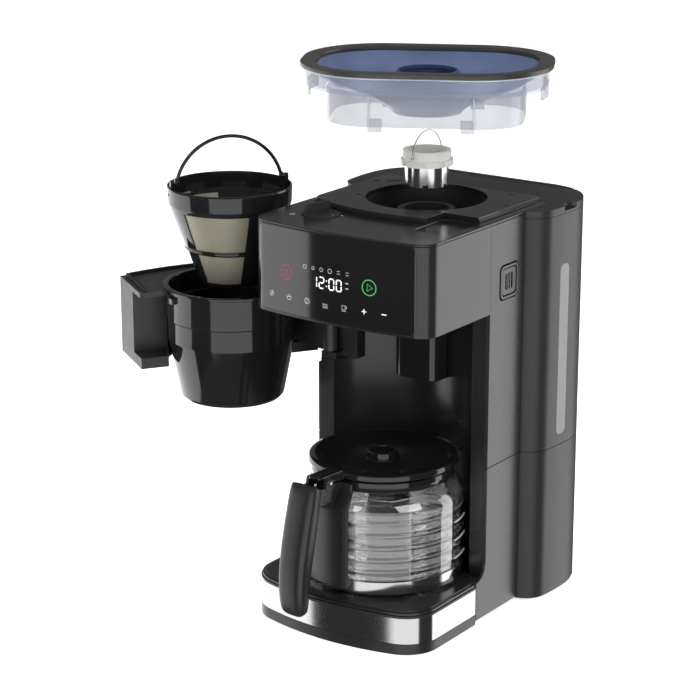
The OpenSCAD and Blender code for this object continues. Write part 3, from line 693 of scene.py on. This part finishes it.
for i, (x, y) in enumerate(((42, 1), (-42, 1), (42, -1), (-42, -1))):
    soften(prism("hopper_foot_%d" % i, rrect(13, 2.4, 0.6, 3, x, y * 61.3), 461.9, 474.0, "skirt", "hopper", place=hp), 0.5)
    soften(prism("hopper_rib_%d" % i, rrect(1.8, 1.8, 0.4, 3, x * 1.13, y * 62.2), 466.4, 495.4, "lip", "hopper", place=hp), 0.3)
for s in (-1, 1):
    tab = []
    for k in range(17):
        q = math.radians(-21 + 42 * k / 16)
        tab.append((s * (43.4 + 68 * math.cos(q)), 1.12 * 68 * math.sin(q)))
    for k in range(16, -1, -1):
        q = math.radians(-21 + 42 * k / 16)
        tab.append((s * (43.4 + 65.8 * math.cos(q)), 1.12 * 65.8 * math.sin(q)))
    soften(prism("hopper_tab_%d" % (s + 1), tab, 487.6, 500.5, "skirt", "hopper", place=hp), 0.5)
crown = fillet([(33.5, 496.0, 0), (33.2, 499.5, 2), (30.6, 506.2, 5), (27.7, 509.7, 1.2), (26.9, 509.2, 0.3), (26.9, 506.4, 0.8), (29.0, 504.6, 3), (31.4, 499.0, 2), (31.7, 496.0, 0)], 5)
lathe("hopper_guard", crown, (0, 16), "guard", "hopper", 96, (), 40)
post = [(34.4, 478.9), (34.4, 484.0), (33.5, 496.6), (31.7, 496.6), (32.95, 484.4), (32.95, 478.9)]
for k in range(8):
    lathe("hopper_post_%d" % k, post, (0, 16), "guard", "hopper", 8, (), 30, a0=45 * k + 28 - 8, a1=45 * k + 28 + 8)
rimp = [rr(229, 170, 73, 514.5), rr(232.2, 173.2, 74.6, 515.2), rr(233, 174, 75, 517.0), rr(232.2, 173.2, 74.6, 519.0), rr(229, 170, 73, 519.5),
        rr(208, 149, 62.5, 519.2), rr(204.4, 145.4, 60.7, 518.4), rr(203.2, 144.2, 60.1, 517.0), rr(204, 145, 60.5, 514.5)]
loft("hopper_frame", rimp, "rim", "hopper", ("hopper_rim",), 40, loop=True)

# ------------------------------------------------------------------ mesh filter
FX, FY = -168.786, -66.502
FC = (FX, FY)


def cone_r(z):
    return 43.3 + (z - 337) * 15.7 / 42.0


def low_r(z):
    return 28.6 + (z - 300) * 13.6 / 35.2


frame_top = fillet([(cone_r(374.6), 374.6, 0.6), (58.9, 379.4, 3.0), (59.5, 393.6, 0.8), (59.1, 395.2, 0.5), (57.5, 395.2, 0.5), (57.3, 379.4, 3.0), (cone_r(374.6) - 1.8, 374.6, 0.5)], 4)
lathe("filter_band", frame_top, FC, "gloss", "filter", 128, ("filter_frame",), 40)
mid_ring = fillet([(cone_r(338.4), 338.4, 0.4), (cone_r(337.4) + 0.1, 337.3, 0.2), (43.9, 337.0, 0.4), (43.9, 335.2, 0.4), (low_r(334.9), 334.9, 0.3), (low_r(333.6), 333.6, 0.4), (low_r(333.6) - 1.7, 333.6, 0.4), (40.2, 335.4, 0.3), (cone_r(338.4) - 1.7, 338.4, 0.4)], 3)
lathe("filter_waist", mid_ring, FC, "gloss", "filter", 128, (), 40)
foot = fillet([(0, 300.2, 0), (28.4, 300.2, 1.2), (low_r(304.8), 304.8, 0.5), (low_r(304.8) - 1.6, 304.8, 0.5), (26.8, 301.9, 0.6), (0, 301.8, 0)], 4, closed=False)
lathe("filter_foot", foot, FC, "gloss", "filter", 96, (), 40, closed=False)
for k in range(3):
    a = 120 * k - 66.6
    up = [(cone_r(337.9), 337.9), (cone_r(375.2), 375.2), (cone_r(375.2) - 1.7, 375.2), (cone_r(337.9) - 1.7, 337.9)]
    soften(lathe("filter_rib_u%d" % k, up, FC, "gloss", "filter", 24, (), 40, a0=a + 33.2, a1=a + 86.8), 0.5)
    lo = [(low_r(304.2), 304.2), (low_r(334.2), 334.2), (low_r(334.2) - 1.6, 334.2), (low_r(304.2) - 1.6, 304.2)]
    soften(lathe("filter_rib_l%d" % k, lo, FC, "gloss", "filter", 24, (), 40, a0=a + 33.2, a1=a + 86.8), 0.4)
cloth = [(cone_r(337.6) - 1.1, 337.6), (cone_r(375.6) - 1.1, 375.6), (cone_r(375.6) - 1.5, 375.6), (cone_r(337.6) - 1.5, 337.6)]
lathe("filter_cloth_upper", cloth, FC, "weave", "filter", 128, ("filter_mesh",), 40)
cloth2 = [(low_r(303.6) - 1.0, 303.6), (low_r(334.4) - 1.0, 334.4), (low_r(334.4) - 1.4, 334.4), (low_r(303.6) - 1.4, 303.6)]
lathe("filter_cloth_lower", cloth2, FC, "weave", "filter", 128, (), 40)
# bail lugs with the pin ends showing outside
for s in (0, 180):
    t = turned(FX, FY, 53 + s)
    lug = fillet([(-2.5, 387, 0.8), (2.5, 387, 0.8), (2.5, 402.6, 2.4), (-2.5, 402.6, 2.4)], 6)
    soften(prism("filter_lug_%d" % s, lug, 53.5, 57.6, "gloss", "filter", place=lambda x, y, z, t=t: t(z, x, y)), 0.6)
    # pin ends drawn as near-black discs in the painted hole shade
    dot = [(1.5 * math.cos(2 * math.pi * q / 20), 388.6 + 1.5 * math.sin(2 * math.pi * q / 20)) for q in range(20)]
    prism("filter_pin_%d" % s, dot, 57.8, 59.45, "hole", "filter", place=lambda x, y, z, t=t: t(z, x, y))
tb = turned(FX, FY, 53)
path = []
for k in range(49):
    a = math.radians(12.3 + 155.4 * k / 48)
    path.append(tb(52.2 * math.cos(a), 0, 389 + 52.2 * math.sin(a)))
sweep("filter_hoop", path, 1.7, "gloss", "filter_handle", 16, reps=("filter_bail",))
for s in (-1, 1):
    eye = fillet([(0, 0, 0), (3.3, 0, 0.7), (3.3, 3.6, 0.7), (0, 3.6, 0)], 4, closed=False)
    vs, fs = [], []
    seg, m_ = 32, len(eye)
    for i in range(seg):
        a = 2 * math.pi * i / seg
        for r, h in eye:
            vs.append(tb(s * (49.3 + h), r * math.cos(a), 400.4 + r * math.sin(a)))
    for i in range(seg):
        j = (i + 1) % seg
        for p in range(m_ - 1):
            fs.append((i * m_ + p, j * m_ + p, j * m_ + p + 1, i * m_ + p + 1))
    mk("filter_pivot_%d" % (s + 1), vs, fs, "gloss", "filter_handle")

# ------------------------------------------------------------------ brew basket
cup = fillet([(8.4, 180.2, 0.4), (10.4, 180.2, 0.6), (10.6, 187.2, 0.8), (47.2, 187.2, 1.2), (50.2, 190.8, 1.2), (61.0, 246, 5), (61.0, 266.2, 0.4), (62.0, 267.2, 0.5), (62.0, 296.2, 0.6),
              (64.6, 296.6, 0.5), (64.6, 299.3, 0.8), (59.8, 299.3, 0.8), (59.8, 279.0, 0.5), (57.7, 278.6, 0.4), (57.7, 276.6, 0.4), (58.6, 276.0, 0.4), (58.6, 246, 5), (47.8, 190.4, 1), (8.4, 190.2, 0.4)], 4)
lathe("basket_cup", cup, FC, "gloss", "basket", 144, ("brew_basket",), 40)
for k, a in enumerate((9, 171)):
    soften(prism("basket_clip_%d" % k, rrect(4.6, 9.8, 0.8, 3, 63.2, 0), 286.1, 291.9, "gloss", "basket", place=turned(FX, FY, a - 123.6)), 0.6)

# ------------------------------------------------------------------ side button: frame, sunk face and slotted pad
bp = lambda u, v, w: (w, 8 + u, 325 + v)


def collar(name, o_, i_, w0, w1, mat, body, reps=()):
    a = [[bp(x, y, w) for x, y in p] for p, w in ((o_, w0), (o_, w1), (i_, w1), (i_, w0))]
    return soften(loft(name, a, mat, body, reps, 40, loop=True), 0.45)


collar("button_frame", rrect(30.4, 31.4, 5.4, 6), rrect(25.2, 26.2, 3.6, 6), 92.4, 97.3, "side", "button", ("side_button",))
collar("button_face", rrect(23.6, 24.6, 3.0, 6), rrect(12.4, 14.8, 1.0, 6), 92.4, 96.6, "side", "button")
# near-black plate behind the frame: painted shade seen through the gap round the button
soften(prism("button_gap_shade", rrect(29.6, 30.6, 5.0, 6), 90.2, 92.6, "hole", "button", place=bp), 0.3)
for k in (-1, 0, 1):
    soften(prism("button_bar_%d" % (k + 1), rrect(1.7, 15.2, 0.4, 3, 3.1 * k, 0), 92.5, 96.4, "side", "button", place=bp), 0.3)

# ------------------------------------------------------------------ details on the top
# the grind ticks use the faintly glowing print: painted light
for i, (x, y, w, h, deg) in enumerate(((-72.2, -97.0, 5.2, 1.3, 35), (-38.2, -77.6, 5.2, 1.3, 35), (-31.4, -76.0, 1.7, 1.7, 35), (-36.0, -73.4, 1.5, 1.5, 35))):
    prism("grind_tick_%d" % i, rrect(w, h, 0.5, 4), 384.99, 385.07, "mark", "machine", place=turned(x, y, deg))
# latch with its slot behind the well, catch on the front wall of the deck
lt = turned(-63.5, 56.5, 55)
soften(prism("latch_frame", rrect(15, 6.4, 1.2, 4), 389.6, 390.35, "black", "machine", place=lt), 0.2)
soften(prism("latch_tongue", rrect(4.6, 3.4, 0.8, 4), 389.8, 390.45, "satin", "machine", place=lt), 0.2)
ct = turned(34.0, -63.3, 9.6)
soften(prism("deck_catch", rrect(5.4, 2.6, 0.6, 4), 385.1, 389.2, "satin", "machine", place=ct), 0.4)

# ------------------------------------------------------------------ panel marks
def on_glass(x, z, off):
    return (x, 365 - math.sqrt(500 * 500 - x * x) - off, z)


def strokes(name, lines, width, mat):
    """flat strokes lying on the bowed glass, as thin closed strips"""
    vs, fs = [], []
    hw = width / 2
    for ln in lines:
        n = len(ln)
        closed = ln[0] == ln[-1]
        for i, (x, z) in enumerate(ln):
            a = ln[i - 1] if i else (ln[-2] if closed else ln[0])
            c = ln[i + 1] if i < n - 1 else (ln[1] if closed else ln[-1])
            d = Vector((c[0] - a[0], c[1] - a[1])).normalized()
            nx, nz = -d.y, d.x
            for s, off in ((1, 0.07), (-1, 0.07), (-1, -0.02), (1, -0.02)):
                vs.append(on_glass(x + s * hw * nx, z + s * hw * nz, off))
        b0 = len(vs) - 4 * n
        for i in range(n - 1):
            p, q = b0 + 4 * i, b0 + 4 * i + 4
            for k in range(4):
                fs.append((p + k, p + (k + 1) % 4, q + (k + 1) % 4, q + k))
        if not closed:
            fs.append((b0, b0 + 1, b0 + 2, b0 + 3))
            e = b0 + 4 * (n - 1)
            fs.append((e + 3, e + 2, e + 1, e))
    return mk(name, vs, fs, mat, "machine")


def ring2(cx, cz, r, n=40, a0=0, a1=360):
    return [(cx + r * math.cos(math.radians(a0 + (a1 - a0) * k / n)), cz + r * math.sin(math.radians(a0 + (a1 - a0) * k / n))) for k in range(n + 1)]


def loop2(pts):
    return list(pts) + [pts[0]]


strokes("mark_stop", [ring2(-53.4, 340.7, 6.6), loop2([(-55.6, 338.5), (-51.2, 338.5), (-51.2, 342.9), (-55.6, 342.9)])], 0.62, "red")
strokes("mark_start", [ring2(38.7, 340.5, 7.0), loop2([(36.8, 337.3), (36.8, 343.7), (42.2, 340.5)])], 0.75, "green")
SEG = {"0": "abcdef", "1": "bc", "2": "abged", "3": "abgcd"}


def digit(ch, x, z, w, h):
    g = 0.55
    pts = {"a": [(x + g, z + h), (x + w - g, z + h)], "b": [(x + w, z + h - g), (x + w, z + h / 2 + g)], "c": [(x + w, z + h / 2 - g), (x + w, z + g)],
           "d": [(x + g, z), (x + w - g, z)], "e": [(x, z + h / 2 - g), (x, z + g)], "f": [(x, z + h - g), (x, z + h / 2 + g)], "g": [(x + g, z + h / 2), (x + w - g, z + h / 2)]}
    return [pts[k] for k in SEG[ch]]


ln = []
for ch, x in (("1", -22.6), ("2", -14.6), ("0", -3.6), ("0", 4.4)):
    ln += digit(ch, x, 332.6, 5.2, 10.0)
strokes("mark_time", ln, 1.15, "lamp")
strokes("mark_colon", [loop2(rrect(0.7, 0.7, 0.2, 2, -6.4, 340.0)), loop2(rrect(0.7, 0.7, 0.2, 2, -6.4, 335.2))], 0.6, "lamp")
small = []
for i in range(6):
    x = -31 + 9.4 * i
    if i == 0:
        small += [loop2(rrect(3.6, 3.0, 0.6, 3, x, 349.6))]
    elif i in (1, 2, 3):
        small += [ring2(x, 349.6, 1.0 + 0.35 * i, 20)]
    else:
        small += [[(x - 1.6, 348.4 + 0.8 * k), (x + 1.6, 348.4 + 0.8 * k)] for k in range(0, 4, 3)]
strokes("mark_small", small, 0.42, "dim")
strokes("mark_side", [[(14.2, 341.0), (17.2, 341.0)], [(14.2, 336.2), (17.2, 336.2)]], 0.9, "dim")
zr = 318.0
row = []
x = -71.2
bean = [(x + 2.2 * math.cos(t) * 0.8 - 1.6 * math.sin(t) * 0.6, zr + 2.2 * math.cos(t) * 0.6 * 1.2 + 1.9 * math.sin(t) * 0.9) for t in [2 * math.pi * k / 28 for k in range(28)]]
row += [loop2(bean), [(x - 1.5, zr - 1.6), (x - 0.2, zr - 0.3), (x + 0.2, zr + 0.4), (x + 1.5, zr + 1.6)]]
x = -50.0
row += [[(x - 3.0, zr + 0.4), (x + 3.0, zr + 0.4)], [(x - 2.7, zr + 0.2), (x - 1.6, zr - 2.3), (x + 1.6, zr - 2.3), (x + 2.7, zr + 0.2)], [(x - 1.0, zr + 1.2), (x - 0.6, zr + 2.0), (x - 1.0, zr + 2.8)], [(x + 1.0, zr + 1.2), (x + 1.4, zr + 2.0), (x + 1.0, zr + 2.8)]]
x = -28.6
row += [ring2(x, zr, 2.6, 30), [(x, zr - 2.0), (x - 0.6, zr - 0.2), (x + 0.6, zr + 0.4), (x, zr + 2.0)]]
x = -8.1
row += [[(x - 2.8 + 0.7 * k, zr + dz + 0.5 * math.sin(1.5 * k)) for k in range(9)] for dz in (-1.5, 0.2)] + [[(x - 2.6, zr - 2.9), (x + 2.8, zr - 2.9)]]
x = 12.7
row += [loop2([(x - 2.4, zr + 2.2), (x + 1.4, zr + 2.2), (x + 1.0, zr - 1.6), (x - 2.0, zr - 1.6)]), ring2(x + 1.3, zr + 0.6, 1.3, 14, -80, 80), [(x - 2.6, zr - 2.7), (x + 1.8, zr - 2.7)]]
strokes("mark_row", row, 0.48, "dim")
strokes("mark_plus", [[(31.2, zr), (36.0, zr)], [(33.6, zr - 2.4), (33.6, zr + 2.4)]], 0.75, "lamp")
strokes("mark_minus", [[(51.4, zr), (56.2, zr)]], 0.75, "lamp")

# ------------------------------------------------------------------ floor
m, nt, b = new_mat("floor")
b.inputs["Base Color"].default_value = (0.80, 0.80, 0.80, 1)
b.inputs["Roughness"].default_value = 0.9
b.inputs["Specular IOR Level"].default_value = 0.1
b.inputs["Emission Color"].default_value = (1, 1, 1, 1)
b.inputs["Emission Strength"].default_value = 0.72
me = bpy.data.meshes.new("floor")
S = 7.0
me.from_pydata([(-S, -S, -0.0004), (S, -S, -0.0004), (S, S, -0.0004), (-S, S, -0.0004),
                (-S, S, 6), (S, S, 6), (-S, -S, 6)], [], [(0, 1, 2, 3), (3, 2, 5, 4), (0, 3, 4, 6)])
me.materials.append(m)
floor = bpy.data.objects.new("floor", me)
scene.collection.objects.link(floor)
floor.visible_glossy = False
floor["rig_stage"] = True

lo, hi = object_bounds()
